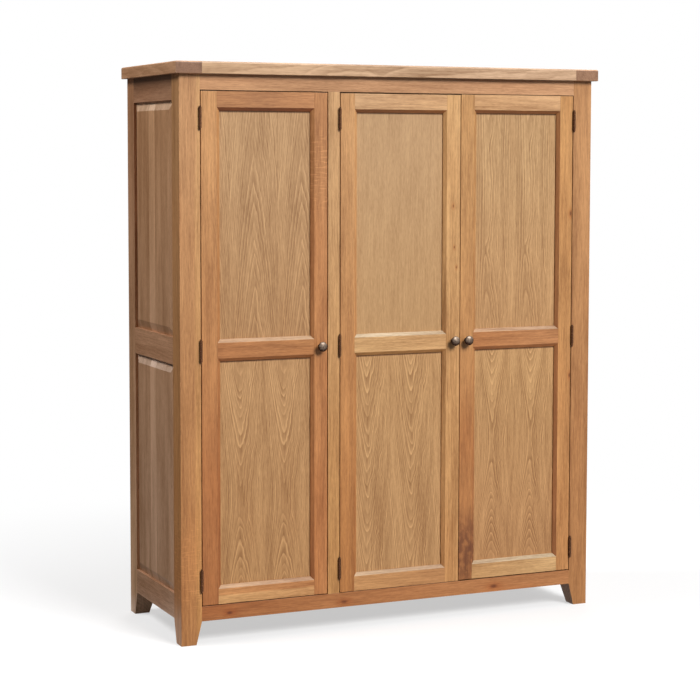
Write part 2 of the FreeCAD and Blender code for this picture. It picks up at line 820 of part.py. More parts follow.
def door_stile(label, door, edge, flat, inward):
    """A stile from its outer edge inward: flat face, bevel, quirk, then the panel's groove."""
    def x(distance):
        return edge + distance * inward

    lip = flat + dim.bevel_width
    bottom = lip - dim.groove_depth
    piece = Piece(label, door.corner)
    section = [(x(ZERO), 0), (x(flat), 0), (x(lip), dim.bevel_depth),
               (x(lip), dim.panel_setback), (x(bottom), dim.panel_setback),
               (x(bottom), PANEL_BACK), (x(lip), PANEL_BACK),
               (x(lip), dim.door_thickness), (x(ZERO), dim.door_thickness)]
    piece.pad("XY_Plane", [section], 0, DOOR_HEIGHT)

    # The moulded strip is cut away, with mitred ends, where each rail's face runs through.
    cuts = []
    for base, top in door_rail_spans():
        low = ZERO if base is ZERO else base - dim.bevel_width
        high = DOOR_HEIGHT if top is DOOR_HEIGHT else top + dim.bevel_width
        cuts.append([(x(flat), base), (x(lip), low), (x(lip), high), (x(flat), top)])
    piece.pocket("XZ_Plane", cuts, 0, dim.door_thickness)
    depth = dim.tenon_length + dim.mortise_play
    span = (x(flat - depth), x(flat)) if inward > 0 else (x(flat), x(flat - depth))
    for base, top in door_rail_spans():
        piece.cut_box(span, (dim.panel_setback, PANEL_BACK),
                      (base + dim.tenon_shoulder, top - dim.tenon_shoulder))
    return piece


def door_rail(label, door, base, top):
    """A rail with the stiles' moulding on each inner edge and a tenon on each end."""
    piece = Piece(label, door.corner)
    section = [(ZERO, base)]
    if base is not ZERO:
        section += moulding(base, -1)
    section.append((dim.door_thickness, base if base is ZERO else base - dim.bevel_width))
    section.append((dim.door_thickness, top if top is DOOR_HEIGHT else top + dim.bevel_width))
    if top is not DOOR_HEIGHT:
        section += reversed(moulding(top, 1))
    section.append((ZERO, top))
    piece.pad("YZ_Plane", [section], *door.clear)

    mitres = []
    for edge, inward in ((door.clear[0], 1), (door.clear[1], -1)):
        corner = edge + dim.bevel_width * inward
        if base is not ZERO:
            low = base - dim.bevel_width
            mitres.append([(edge, base), (edge, low), (corner, low)])
        if top is not DOOR_HEIGHT:
            high = top + dim.bevel_width
            mitres.append([(edge, top), (corner, high), (edge, high)])
    piece.pocket("XZ_Plane", mitres, 0, dim.door_thickness)
    ends = (door.clear[0] - dim.tenon_length, door.clear[1] + dim.tenon_length)
    piece.add_box(ends, (dim.panel_setback, PANEL_BACK),
                  (base + dim.tenon_shoulder, top - dim.tenon_shoulder))
    return piece


def moulding(flat, outward):
    """Bevel, quirk and groove beyond a rail's flat face, from the front to the back."""
    lip = flat + dim.bevel_width * outward
    bottom = lip - dim.groove_depth * outward
    return [(dim.bevel_depth, lip), (dim.panel_setback, lip), (dim.panel_setback, bottom),
            (PANEL_BACK, bottom), (PANEL_BACK, lip)]


def door_panel(label, door, low_rail, high_rail):
    """A flat panel that floats in the grooves round it."""
    hidden = dim.groove_depth - dim.panel_play - dim.bevel_width
    piece = Piece(label, door.corner)
    piece.add_box((door.clear[0] - hidden, door.clear[1] + hidden),
                  (dim.panel_setback, PANEL_BACK), (low_rail[1] - hidden, high_rail[0] + hidden))
    return piece


def knob(label, door):
    """A turned mushroom knob: foot, tapered neck, flared cap and domed face. Its bolt runs
    through the stile to the door's back."""
    x = door.from_free_edge(dim.knob_inset) - dim.body_width / 2
    piece = Piece(label, Corner(x, FRONT_PLANE, dim.knob_height))
    rim = dim.knob_projection - dim.knob_rim
    dome_radius = (dim.knob_radius * dim.knob_radius + dim.knob_rim * dim.knob_rim) / (
        2 * dim.knob_rim)
    outline = [Bow(0, -dim.knob_projection, dome_radius),
               (dim.knob_radius, -rim),
               (dim.knob_flare_radius, -dim.knob_flare),
               (dim.knob_neck_radius, -dim.knob_neck),
               (dim.knob_foot_radius, -dim.knob_foot_height),
               (dim.knob_foot_radius, 0),
               (0, 0)]
    piece.revolve("XY_Plane", outline)
    piece.pad("XZ_Plane", [Circle(0, 0, dim.bolt_radius)], 0, dim.door_thickness)
    return piece


def make_door(door):
    name = f"door_{door.name}"
    hinge = door_stile(f"{name}_hinge_stile", door, ZERO, door.hinge_stile, 1)
    cut_gains(hinge, (0, dim.leaf_thickness), door.base)
    lock = door_stile(f"{name}_lock_stile", door, door.width, door.lock_stile, -1)
    spans = door_rail_spans()
    rails = [door_rail(f"{name}_{place}_rail", door, *span)
             for place, span in zip(("bottom", "middle", "top"), spans)]
    rails[-1].cut_box(*keeper_place(door))
    lower = door_panel(f"{name}_lower_panel", door, spans[0], spans[1])
    upper = door_panel(f"{name}_upper_panel", door, spans[1], spans[2])
    leaves = door_leaves(f"{name}_hinge_leaves", door)
    nodes.extend(piece.body for piece in [hinge, lock, *rails, lower, upper, leaves])
    fittings = [knob(f"{name}_knob", door), keeper(f"{name}_keeper", door)]
    nodes.append(group(f"{name}_knob_and_keeper", fittings))


# ---------------------------------------------------------------- hinges and catches


def knuckle(piece, number, tab):
    """A knuckle round the axis, joined to its leaf by a tab. Number 0 is the lower one."""
    pitch = dim.leaf_height / dim.knuckle_count
    foot = -dim.leaf_height / 2 + pitch * number
    low, high = foot + dim.knuckle_gap / 2, foot + pitch - dim.knuckle_gap / 2
    piece.pad("XY_Plane", [Circle(0, -dim.barrel_standoff, dim.barrel_radius)], low, high)
    piece.add_box(tab, (-dim.barrel_standoff, ZERO), (low, high))
    return low, high


def door_leaves(label, door):
    """Leaves let into the door's edge. Their upper knuckles lift off the pins."""
    piece = Piece(label, door.axis)
    span = (LEAF_EDGE, LEAF_EDGE + dim.leaf_thickness)
    half = dim.leaf_height / 2
    piece.add_box(span, (0, dim.leaf_depth), (-half, half))
    tab = (dim.barrel_radius - dim.leaf_thickness, LEAF_EDGE + dim.leaf_thickness)
    low, high = knuckle(piece, 1, tab)
    bore = Circle(0, -dim.barrel_standoff, dim.pin_radius + dim.pin_clearance)
    piece.pocket("XY_Plane", [bore], low, high)
    piece.repeat("Z_Axis", dim.hinge_pitch, dim.hinge_count)
    return piece


def frame_leaves(label, door):
    """Leaves let into the post or mullion. A pin stands in each one's lower knuckle, and its
    tip comes out above the door's."""
    piece = Piece(label, door.axis)
    span = (dim.barrel_offset - dim.leaf_thickness, dim.barrel_offset)
    half = dim.leaf_height / 2
    piece.add_box(span, (0, dim.leaf_depth), (-half, half))
    _, knuckle_top = knuckle(piece, 0, span)
    pin = Circle(0, -dim.barrel_standoff, dim.pin_radius)
    piece.pad("XY_Plane", [pin], knuckle_top, half + dim.pin_tip)
    piece.repeat("Z_Axis", dim.hinge_pitch, dim.hinge_count)
    return piece


def keeper_place(door):
    """Where the keeper is let into the back of the top rail, almost to its full thickness."""
    middle = door.width - dim.magnet_inset
    level = MAGNET_LEVEL - door.base
    back = dim.door_thickness
    return ((middle - dim.keeper_width / 2, middle + dim.keeper_width / 2),
            (back - dim.keeper_depth, back + dim.keeper_proud),
            (level - dim.keeper_height / 2, level + dim.keeper_height / 2))


def keeper(label, door):
    """The steel plate on the door's back that the magnet holds."""
    piece = Piece(label, door.corner)
    piece.add_box(*keeper_place(door))
    return piece


def make_frame_leaves():
    leaves = [frame_leaves(f"frame_leaves_{door.name}", door) for door in DOORS]
    nodes.append(group("hinge_frame_leaves", leaves))


def make_stops():
    """Strips behind the top rail that the doors close on, with a magnet for each door."""
    strips, magnets = [], []
    front, back = dim.front_thickness, dim.front_thickness + dim.stop_depth
    base = OPENING_TOP - dim.door_gap - dim.stop_lap
    for name, low, high in bays():
        strip = Piece(f"door_stop_{name}", LEFT)
        strip.add_box((low, high), (front, back), (base, base + dim.stop_height))
        strips.append(strip)
    for door in DOORS:
        middle = door.from_free_edge(dim.magnet_inset)
        strip = strips[0] if door.name == "left" else strips[1]
        place = ((middle - dim.magnet_width / 2, middle + dim.magnet_width / 2),
                 (front, front + dim.magnet_depth),
                 (MAGNET_LEVEL - dim.magnet_height / 2, MAGNET_LEVEL + dim.magnet_height / 2))
        strip.cut_box(*place)
        magnet = Piece(f"magnet_{door.name}", LEFT)
        magnet.add_box(*place)
        magnets.append(magnet)
    nodes.append(group("door_stops", strips))
    nodes.append(group("catch_magnets", magnets))


# ---------------------------------------------------------------- build, check and write


def check_document():
    """Stops unless every feature solved and every cut took material away."""
    for item in doc.Objects:
        if "Invalid" in item.State or "Error" in item.State:
            raise RuntimeError(f"{item.Label}: {item.State}")
        if item.TypeId in ("PartDesign::Pocket", "PartDesign::SubtractiveBox"):
            if item.Shape.Volume >= item.BaseFeature.Shape.Volume - LEAST_CUT:
                raise RuntimeError(f"{item.Label} cuts nothing")
    labels = [node.Label for node in nodes]
    if len(set(labels)) != len(labels):
        raise RuntimeError("two nodes share a name")
    for node in nodes:
        if node.Shape.isNull() or not node.Shape.isValid():
            raise RuntimeError(f"{node.Label} has no valid shape")


make_posts()
make_front_frame()
make_rear_rails()
make_sides()
make_back_boards()
make_top()
make_base()
make_partition()
make_fittings()
make_stops()
make_frame_leaves()
for hung in DOORS:
    make_door(hung)
doc.recompute()
check_document()

os.makedirs("parts", exist_ok=True)
for node in nodes:
    node.Shape.exportStep(os.path.join("parts", f"{node.Label}.step"))
print(f"{len(nodes)} nodes written")
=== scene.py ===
import bmesh
import bpy
import json
import math
from mathutils import Matrix, Vector


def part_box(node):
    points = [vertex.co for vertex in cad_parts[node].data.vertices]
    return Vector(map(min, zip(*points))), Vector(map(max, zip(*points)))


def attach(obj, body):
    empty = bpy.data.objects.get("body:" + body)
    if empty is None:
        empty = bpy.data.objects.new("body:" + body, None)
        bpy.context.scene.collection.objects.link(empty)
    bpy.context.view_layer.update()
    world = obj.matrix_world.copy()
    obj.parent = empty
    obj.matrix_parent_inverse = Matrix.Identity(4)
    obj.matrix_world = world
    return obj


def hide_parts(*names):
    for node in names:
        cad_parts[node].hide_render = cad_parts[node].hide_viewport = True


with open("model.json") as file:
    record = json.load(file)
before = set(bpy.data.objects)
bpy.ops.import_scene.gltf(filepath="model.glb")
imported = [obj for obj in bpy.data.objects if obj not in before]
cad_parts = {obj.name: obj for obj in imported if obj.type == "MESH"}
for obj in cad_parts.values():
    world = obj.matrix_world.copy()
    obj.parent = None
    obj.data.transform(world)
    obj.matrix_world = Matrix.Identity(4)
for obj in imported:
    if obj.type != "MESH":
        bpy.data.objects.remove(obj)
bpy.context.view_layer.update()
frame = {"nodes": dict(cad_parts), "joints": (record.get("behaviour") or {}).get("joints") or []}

NODES = frame["nodes"]
MM = 0.001


# ---------------------------------------------------------------- colour and shader helpers


def linear(colour):
    """A colour given as 0-255 display values, as the linear values that a shader takes."""
    def channel(value):
        value = value / 255
        return value / 12.92 if value <= 0.04045 else ((value + 0.055) / 1.055) ** 2.4
    return tuple(channel(value) for value in colour)


class Value:
    """A number inside a shader. Arithmetic on it adds the nodes that work it out."""

    def __init__(self, shader, socket):
        self.shader = shader
        self.socket = socket

    def __add__(self, other):
        return self.shader.math("ADD", self, other)

    def __sub__(self, other):
        return self.shader.math("SUBTRACT", self, other)

    def __rsub__(self, other):
        return self.shader.math("SUBTRACT", other, self)

    def __mul__(self, other):
        return self.shader.math("MULTIPLY", self, other)

    def __truediv__(self, other):
        return self.shader.math("DIVIDE", self, other)

    __radd__ = __add__


class Shader:
    """A material, with short calls for the nodes that the finishes here need."""

    def __init__(self, name):
        self.material = bpy.data.materials.new(name)
        self.material.use_nodes = True
        self.tree = self.material.node_tree
        self.surface = self.tree.nodes["Principled BSDF"]

    def node(self, kind, *inputs, **settings):
        """A node with its settings and its first inputs, each a number, colour or Value."""
        made = self.tree.nodes.new("ShaderNode" + kind)
        for key, value in settings.items():
            setattr(made, key, value)
        for socket, value in zip(made.inputs, inputs):
            self.feed(socket, value)
        return made

    def feed(self, socket, value):
        if isinstance(value, Value):
            self.tree.links.new(value.socket, socket)
        elif value is not None:
            socket.default_value = value

    def math(self, operation, *inputs):
        return Value(self, self.node("Math", *inputs, operation=operation).outputs[0])

    def root(self, value):
        return self.math("SQRT", value)

    def least(self, value, other):
        return self.math("MINIMUM", value, other)

    def most(self, value, other):
        return self.math("MAXIMUM", value, other)

    def step(self, value, low, high):
        """0 below low, 1 above high and smooth between. With low above high it falls."""
        made = self.node("MapRange", value, low, high, 0.0, 1.0, interpolation_type="SMOOTHSTEP")
        return Value(self, made.outputs[0])

    def between(self, value, low, high, fade):
        """1 between low and high, 0 outside and smooth at the ends."""
        return self.step(value, low - fade, low + fade) * self.step(value, high + fade, high - fade)

    def position(self):
        """The three coordinates on the object, in metres."""
        return self.split("Object")

    def normal(self):
        """The three parts of the direction in which the surface faces."""
        return self.split("Normal")

    def split(self, coordinate):
        vector = Value(self, self.node("TexCoord").outputs[coordinate])
        return [Value(self, socket) for socket in self.node("SeparateXYZ", vector).outputs]

    def vector(self, x, y, z):
        return Value(self, self.node("CombineXYZ", x, y, z).outputs[0])

    def noise(self, x, y, z, detail=2.0, roughness=0.5):
        """Soft random values about 0, from -0.5 to 0.5."""
        made = self.node("TexNoise")
        self.feed(made.inputs["Vector"], self.vector(x, y, z))
        made.inputs["Scale"].default_value = 1.0
        made.inputs["Detail"].default_value = detail
        made.inputs["Roughness"].default_value = roughness
        return Value(self, made.outputs[0]) - 0.5

    def grit(self, scale, detail):
        """Noise that is alike in every direction, with so many waves to the metre."""
        x, y, z = self.position()
        return self.noise(x * scale, y * scale, z * scale, detail)

    def chance(self, number):
        """One random number from 0 to 1 for each whole number."""
        made = self.node("TexWhiteNoise", noise_dimensions="1D")
        self.feed(made.inputs["W"], number)
        return Value(self, made.outputs[0])

    def mix(self, share, first, second, blend="MIX"):
        """Two colours mixed; share 1 is all second."""
        made = self.node("Mix", data_type="RGBA", blend_type=blend)
        self.feed(made.inputs[0], share)
        for socket, colour in ((made.inputs[6], first), (made.inputs[7], second)):
            self.feed(socket, (*colour, 1.0) if isinstance(colour, tuple) else colour)
        return Value(self, made.outputs[2])

    def tint(self, share, colour, factors):
        """A colour multiplied by factors of red, green and blue; share 0 leaves it as it is."""
        return self.mix(share, colour, factors, "MULTIPLY")

    def ramp(self, value, stops):
        """A number read off straight lines between (position, height) stops."""
        made = self.node("ValToRGB", value)
        elements = made.color_ramp.elements
        while len(elements) < len(stops):
            elements.new(0.5)
        for element, (position, height) in zip(elements, stops):
            element.position = position
            element.color = (height, height, height, 1.0)
        return Value(self, made.outputs[0])

    def bump(self, height, strength, depth):
        made = self.node("Bump")
        made.inputs["Strength"].default_value = strength
        made.inputs["Distance"].default_value = depth
        self.feed(made.inputs["Height"], height)
        self.tree.links.new(made.outputs[0], self.surface.inputs["Normal"])

    def finish(self, colour, roughness, **constants):
        """Wires colour and roughness, and sets the other sockets to plain numbers."""
        self.feed(self.surface.inputs["Base Color"], colour)
        self.feed(self.surface.inputs["Roughness"], roughness)
        for name, value in constants.items():
            self.surface.inputs[name.replace("_", " ")].default_value = value
        return self.material


# ---------------------------------------------------------------- oak

# Noise drawn out along the fibres: its waves to the metre across them and along them, which
# coordinate the piece's seed shifts, its detail and its roughness.
ACROSS, THROUGH, ALONG = 0, 1, 2
QUICK_STRAY = (42, 15, THROUGH, 2.0, 0.5)
BROAD_SHADES = (22, 2.3, THROUGH, 2.0, 0.5)
FINE_STREAKS = (170, 9, ALONG, 3.0, 0.7)
SHORT_FLECKS = (330, 50, THROUGH, 1.0, 0.5)
PORE_DASHES = (1500, 55, ACROSS, 1.0, 0.5)
RIPPLES = (30, 190, THROUGH, 2.0, 0.5)
STAIN_CLOUDS = (60, 42, ALONG, 3.0, 0.5)
SLOW_STRAY = 7           # waves to the metre across; each piece's own wave says how many along

# Tints, as factors of red, green and blue
DARK_GRAIN = (0.60, 0.52, 0.43)
LIGHT_GRAIN = (1.30, 1.36, 1.44)
PORE_TINT = (0.48, 0.38, 0.30)
PATCH_TINT = (0.88, 0.70, 0.55)
STAIN_TINT = (0.44, 0.36, 0.35)
KNOT_TINT = (0.40, 0.30, 0.24)
END_TINT = (0.62, 0.56, 0.56)
# Painted light on the door chamfers: a paler painted sheen on those that look up, painted shade on
# those that look down or sideways
UPPER_SLOPE_SHEEN = (0.79, 1.01, 1.41)
STRONG_SLOPE_SHEEN = (0.90, 1.24, 1.80)
UNDER_SLOPE_SHADE = {"top_rail": (0.59, 0.36, 0.16), "middle_rail": (0.98, 0.82, 0.58)}
FLANK_SLOPE_SHADE = (0.92, 0.88, 0.84)
DARK_FLANK_SHADE = (0.66, 0.54, 0.50)
# Painted sheen on the side panels' raised fields, on the faces that look up
FIELD_TOP_SHEEN = (1.32, 1.62, 2.10)
# Painted shadow where a panel's head runs into its groove
GROOVE_SHADOW = (0.40, 0.30, 0.24)
# Painted shade on faces that look straight up
TOP_SHADE = (0.80, 0.79, 0.78)

# How light the wood is from the start of a year's ring to its end
RING_PROFILE = [(0.0, 0.26), (0.20, 0.30), (0.48, 0.46), (0.72, 0.64), (0.86, 0.98), (1.0, 0.62)]
EARLY_WOOD = (0.30, 0.02)      # shares of the ring at which the open pores end, and are all there
RING_STRENGTH = (0.35, 1.65)   # of the weakest and the strongest ring
YEAR_DRIFT = 2.2               # how far good and bad years spread the rings

KNOT_LENGTH = 2.1        # a knot's length along the fibres, in widths
KNOT_REACH = 3.2         # how far a knot bends and reddens the wood, in radii
KNOT_EDGE = (1.25, 0.15) # where a knot's dark ends and where it is full, in radii
LOG_SPREAD = (0.2, 3.0)  # how far apart glued boards lay in the log, across it and along it
RIPPLE_FADE = 0.04
STAIN_FADE = 0.35        # of a stain's length
PATCH_LAYER = 3.7        # the patches' place in their noise, the same all through a piece
ARRIS = 0.5 * MM
SHARP_EDGE = math.radians(38)

# The look of plain-sawn boards. A piece's own look changes some of it.
PLAIN = {
    # growth rings: width, place of the tree's heart, taper, and where and how the cones turn
    "ring": 3.4 * MM, "pith_across": 0.16, "pith_depth": 0.05, "crowd": 0.0,
    "rise": 0.012, "turn": -1.4, "bend": 0.2,
    # how far the rings stray, slowly and quickly, and the slow waves to the metre
    "wander": 16 * MM, "jitter": 3.0 * MM, "wave": 1.3,
    # how strong each part of the figure is
    "contrast": 0.42, "years": 0.9, "streak": 1.4, "mottle": 1.3, "fleck": 0.6, "pores": 0.55,
    "patch": 0.35, "patch_wave": 2.2,
    # width of glued boards or of veneer leaves
    "staves": None, "stave_shift": 0.0, "leaf": None, "leaf_start": 0.0,
    # marks: knots (along, across, radius) in the model's frame, and from the piece's middle
    # stains (low, high, amount), bands past an edge (edge, reach, tint) and a rippled span
    "knots": (), "stains": (), "bands": (), "ripple": 0.0, "ripple_span": (0.0, 0.0),
    # faces painted lighter or darker by the way they face, as painted light and shade, and cut ends
    # that the finish darkens
    "slopes": None, "upper": UPPER_SLOPE_SHEEN, "flank": FLANK_SLOPE_SHADE, "fielded": False,
    "groove": None, "dull_top": False, "end_tint": END_TINT,
}


def seed_of(name):
    """A number that differs from name to name and never changes."""
    return sum(ord(letter) * (place + 3) for place, letter in enumerate(name)) % 971 / 10


class Oak:
    """The oak of one piece. Grain is the axis that the fibres follow, and face the axis that
    the show face looks along."""

    def __init__(self, name, low_corner, high_corner, grain, face, style):
        self.sh = Shader("oak_" + name)
        self.seed = seed_of(name)
        self.look = {**PLAIN, **style}
        self.grain = grain
        self.side = next(axis for axis in "XYZ" if axis not in (grain, face))
        self.place = dict(zip("XYZ", self.sh.position()))
        middle = dict(zip("XYZ", (low_corner + high_corner) / 2))
        self.length = dict(zip("XYZ", high_corner - low_corner))[grain]
        self.along = self.place[grain] - middle[grain]
        self.through = self.place[face] - middle[face]
        self.across = self.place[self.side] - middle[self.side]
        self.along_log = self.along

    def noise(self, across, along, seeded, detail, roughness):
        """Soft noise drawn out along the fibres, set as the noises above are."""
        at = [self.across * across, self.through * across, self.along_log * along]
        at[seeded] = at[seeded] + self.seed
        return self.sh.noise(*at, detail, roughness)

    def glue_up(self):
        """Makes the piece of boards or of veneer leaves, and returns each board's own shade."""
        sh, look = self.sh, self.look
        if look["staves"]:
            # each board comes from its own place in the log
            board = sh.math("FLOOR", self.across / look["staves"] + self.seed)
            self.across = self.across + (sh.chance(board + 37.0) - 0.5) * LOG_SPREAD[0]
            self.along_log = self.along + sh.chance(board + 71.0) * LOG_SPREAD[1]
            return sh.chance(board) - 0.5
        if look["leaf"]:
            # the leaves lie side by side, so the same figure comes again and again
            turn = sh.math("FRACT", (self.across - look["leaf_start"]) / look["leaf"] + 0.5)
            self.across = (turn - 0.5) * look["leaf"]
        return 0.0

    def knots(self):
        """How far the knots push the rings aside, how dark they are, and their red halo."""
        sh = self.sh
        push, dark, halo = 0.0, 0.0, 0.0
        for along, across, radius in self.look["knots"]:
            reach_along = (self.place[self.grain] - along) / (radius * KNOT_LENGTH)
            reach_across = (self.place[self.side] - across) / radius
            distance = sh.root(reach_along * reach_along + reach_across * reach_across)
            push = push + sh.step(distance, KNOT_REACH, 0.0) * radius
            dark = dark + sh.step(distance, *KNOT_EDGE)
            halo = halo + sh.step(distance, KNOT_REACH, 0.6)
        return push, dark, halo

    def growth_rings(self, stray, push):
        """The shade of the rings, and 1 in each ring's open early wood.

        Rings are nested cones: the distance from the heart of the tree, less what the taper
        takes off. Above the turn their points look down the piece, below it up. Crowd brings
        the rings closer and straighter away from the heart."""
        sh, look = self.sh, self.look
        from_turn = self.along_log - look["turn"]
        travel = sh.root(from_turn * from_turn + look["bend"] ** 2) - look["bend"]
        depth = self.through + look["pith_depth"]
        offset = self.across - look["pith_across"] + stray * 0.6
        radius = sh.root(offset * offset + depth * depth) + offset * offset * look["crowd"]
        rings = (radius - travel * look["rise"] + stray + push) / look["ring"]
        rings = rings + sh.noise(rings * 0.31, self.seed, 0.5, 1.0) * YEAR_DRIFT
        ring = sh.math("FRACT", rings)
        weakest, strongest = RING_STRENGTH
        chance = sh.chance(sh.math("FLOOR", rings) + self.seed)
        strength = chance * (strongest - weakest) + weakest
        years = sh.noise(rings * 0.23, self.seed + 5.0, 0.3, 1.0)
        band = (sh.ramp(ring, RING_PROFILE) - 0.5) * strength + years * look["years"]
        return band, sh.step(ring, *EARLY_WOOD)

    def ripple(self):
        """Short waves across the fibres, over part of the piece."""
        low, high = self.look["ripple_span"]
        wave = self.sh.step(self.noise(*RIPPLES), 0.02, 0.16)
        inside = self.sh.between(self.along, low, high, RIPPLE_FADE)
        return wave * inside * self.look["ripple"]

    def ground(self, ends, slow):
        """The colour under the figure: the two ends' tints, partly painted light, redder patches,
        stains, and bands, one of which is a painted shadow under the top board.
        """
        sh, look = self.sh, self.look
        share = self.along / self.length + 0.5
        colour = sh.mix(sh.step(share, 0.0, 1.0), linear(ends[0]), linear(ends[1]))
        cloud = sh.noise(self.across * 9 + self.seed, PATCH_LAYER,
                         self.along * look["patch_wave"])
        colour = sh.tint(sh.step(cloud, 0.0, 0.28) * look["patch"], colour, PATCH_TINT)
        for low, high, amount in look["stains"]:
            mottled = sh.step(self.noise(*STAIN_CLOUDS), -0.16, 0.10) * 0.6 + 0.4
            here = sh.between(self.along, low, high, (high - low) * STAIN_FADE)
            colour = sh.tint(here * mottled * amount, colour, STAIN_TINT)
        for edge, reach, tint in look["bands"]:
            inside = sh.step(self.across + slow * 0.02, edge - reach, edge + reach)
            colour = sh.tint(inside, colour, tint)
        return colour

    def weather(self, colour):
        """Painted light and shade on the faces, by the direction that they face, and the cut ends
        that the finish darkens.
        """
        sh, look = self.sh, self.look
        facing = dict(zip("XYZ", sh.normal()))
        if look["slopes"]:
            # painted sheen pales the chamfers that look up, painted shade darkens those that look
            # down and dims those that look sideways
            sloping = sh.step(sh.math("ABSOLUTE", facing["Y"]), 0.97, 0.90)
            sideways = sh.step(sh.math("ABSOLUTE", facing["X"]), 0.3, 0.5)
            up, down = sh.step(facing["Z"], 0.3, 0.5), sh.step(facing["Z"], -0.3, -0.5)
            colour = sh.tint(sideways * sloping, colour, look["flank"])
            colour = sh.tint(up * sloping, colour, look["upper"])
            colour = sh.tint(down * sloping, colour, look["slopes"])
        # painted sheen: the side panels' faces that look up are painted paler
        if look["fielded"]:
            colour = sh.tint(sh.step(facing["Z"], 0.06, 0.15), colour, FIELD_TOP_SHEEN)
        if look["groove"]:
            # a painted shadow line where the panel's head goes into its groove
            brim = self.length / 2 - look["groove"]
            line = sh.step(self.along, brim - 5 * MM, brim - 1 * MM)
            colour = sh.tint(line * 0.8, colour, GROOVE_SHADOW)
        if look["dull_top"]:
            # painted shade: faces that look up are painted a little darker, as they get more light
            # than the rest
            colour = sh.tint(sh.step(facing["Z"], 0.8, 0.95), colour, TOP_SHADE)
        # cut ends soak up more finish and turn darker
        end = sh.step(sh.math("ABSOLUTE", facing[self.grain]), 0.75, 0.95)
        return sh.tint(end, colour, look["end_tint"])

    def material(self, ends):
        """The finished oak. Ends are the colours at the piece's low and high end."""
        sh, look = self.sh, self.look
        board_shade = self.glue_up()
        push, knot_shade, halo = self.knots()
        slow = self.noise(SLOW_STRAY, look["wave"], ACROSS, 2.0, 0.5)
        quick = self.noise(*QUICK_STRAY)
        stray = slow * look["wander"] + quick * look["jitter"]
        band, early = self.growth_rings(stray, push)

        fine = self.noise(*FINE_STREAKS)
        broad = self.noise(*BROAD_SHADES)
        fleck = self.noise(*SHORT_FLECKS)
        pores = sh.step(self.noise(*PORE_DASHES), 0.10, 0.19) * (early * 0.75 + 0.25)
        shade = (band * look["contrast"] + fine * look["streak"] + broad * look["mottle"]
                 + fleck * look["fleck"] + board_shade * look["stave_shift"] + 0.5)
        if look["ripple"]:
            shade = shade + self.ripple()

        ground = self.ground(ends, slow)
        dark = sh.tint(1.0, ground, DARK_GRAIN)
        light = sh.tint(1.0, ground, LIGHT_GRAIN)
        colour = sh.mix(sh.least(sh.most(shade, 0.0), 1.0), dark, light)
        colour = sh.tint(pores * look["pores"], colour, PORE_TINT)
        if look["knots"]:
            colour = sh.tint(sh.least(halo, 1.0) * 0.8, colour, PATCH_TINT)
            colour = sh.tint(sh.least(knot_shade, 1.0), colour, KNOT_TINT)
        colour = self.weather(colour)

        sh.bump(fine * 0.3 + band * 0.05 - pores * 0.8, 0.3, 0.2 * MM)
        roughness = 0.47 - shade * 0.09 + pores * 0.2
        return sh.finish(colour, roughness, Specular_IOR_Level=0.4)


def dress(node, grain, face, ends, **style):
    """Gives a CAD node its oak, and eases its sharp edges."""
    low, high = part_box(node)
    coat(node, Oak(node, low, high, grain, face, style).material(ends), ARRIS)


def coat(node, material, arris):
    """Gives a CAD node its material, and eases its sharp edges by this much."""
    piece = NODES[node]
    piece.data.materials.clear()
    piece.data.materials.append(material)
    weld = piece.modifiers.new("weld", "WELD")
    weld.merge_threshold = 0.01 * MM
    bevel = piece.modifiers.new("arris", "BEVEL")
    bevel.width = arris
    bevel.segments = 2
    bevel.limit_method = "ANGLE"
    bevel.angle_limit = SHARP_EDGE
    for face in piece.data.polygons:
        face.use_smooth = False




# The carcass: node, grain, show face, colours at the low and high end as 0-255 values, and how the
# piece's look differs from the plain one. The change between the two ends is partly the wood's own
# tone and partly painted light: the front's upright pieces are painted lighter towards the head, as
# light falling off towards the floor.
dress("post_front_left", "Z", "Y", ((181, 124, 73), (185, 135, 89)),
      ripple=0.3, ripple_span=(-0.80, -0.52), bands=((0.019, 0.003, (1.10, 1.16, 1.12)),))
dress("post_front_right", "Z", "Y", ((174, 119, 71), (176, 126, 80)))
dress("post_rear_left", "Z", "X", ((204, 160, 123), (178, 129, 93)))
dress("post_rear_right", "Z", "X", ((184, 136, 98), (182, 132, 92)))
dress("front_top_rail", "X", "Y", ((184, 135, 93), (190, 141, 100)), patch=0.2)
dress("front_bottom_rail", "X", "Y", ((170, 108, 61), (179, 120, 73)), patch=0.6,
      knots=((-0.596, 0.097, 6 * MM), (-0.183, 0.095, 7 * MM), (0.389, 0.096, 8 * MM)))
dress("front_mullion", "Z", "Y", ((191, 138, 82), (191, 147, 100)), patch=0.15)
for side in ("left", "right"):
    dress(f"side_{side}_bottom_rail", "Y", "X", ((186, 142, 110), (186, 142, 110)))
    dress(f"side_{side}_middle_rail", "Y", "X", ((186, 138, 103), (186, 138, 103)))
    # painted shadow: a dark band grows towards the top rail's top, as the shade under the top
    # board's overhang
    dress(f"side_{side}_top_rail", "Y", "X", ((172, 126, 94), (172, 126, 94)),
          bands=((0.0, 0.04, (0.38, 0.36, 0.33)),))
    # the side panels carry a painted sheen on their faces that look up
    dress(f"side_{side}_panels", "Z", "X", ((198, 156, 124), (196, 147, 106)),
          staves=0.062, stave_shift=0.8, contrast=0.2, streak=0.5, patch=0.1, fielded=True)
dress("rear_rails", "X", "Y", ((184, 136, 98), (184, 136, 98)))
dress("back_boards", "Z", "Y", ((190, 150, 110), (192, 152, 112)), staves=0.1045,
      stave_shift=0.5)
